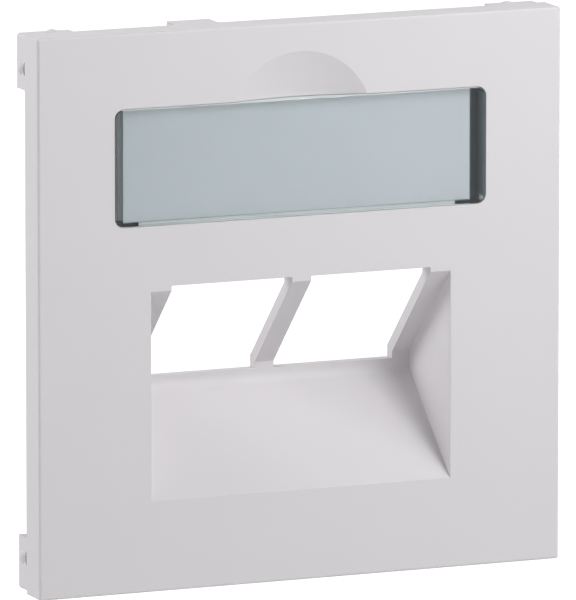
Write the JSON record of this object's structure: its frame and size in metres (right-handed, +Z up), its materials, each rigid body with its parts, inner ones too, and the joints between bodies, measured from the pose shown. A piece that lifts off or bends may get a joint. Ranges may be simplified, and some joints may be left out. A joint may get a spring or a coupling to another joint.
{
  "type": "data outlet wall plate",
  "caption": "Square off-white wall plate for a data outlet: slanted port hood, clear snap-in label window below a thumb scoop, and corner lugs with snap nubs that seat it in a frame.",
  "frame": {"origin": "middle of the plate at its seat, the rear plane of the corner lugs", "axes": "+Z up as the plate hangs, +X to the right seen from the front, +Y into the wall; the face looks along -Y"},
  "size_m": [0.0552, 0.0107, 0.0552],
  "materials": {
    "plate_plastic": "satin moulded, off-white",
    "clear_plastic": "clear, polished",
    "label_paper": "plain uncoated card, pale blue-grey"
  },
  "bodies": {
    "plate": {"centre_plate": "plate_plastic", "label_card": "label_paper"},
    "window": {"label_window": "clear_plastic"}
  },
  "joints": [
    {"name": "window_pull", "type": "slide", "parent": "plate", "child": "window", "axis": [0, -1, 0], "range_m": [0, 0.012]}
  ]
}
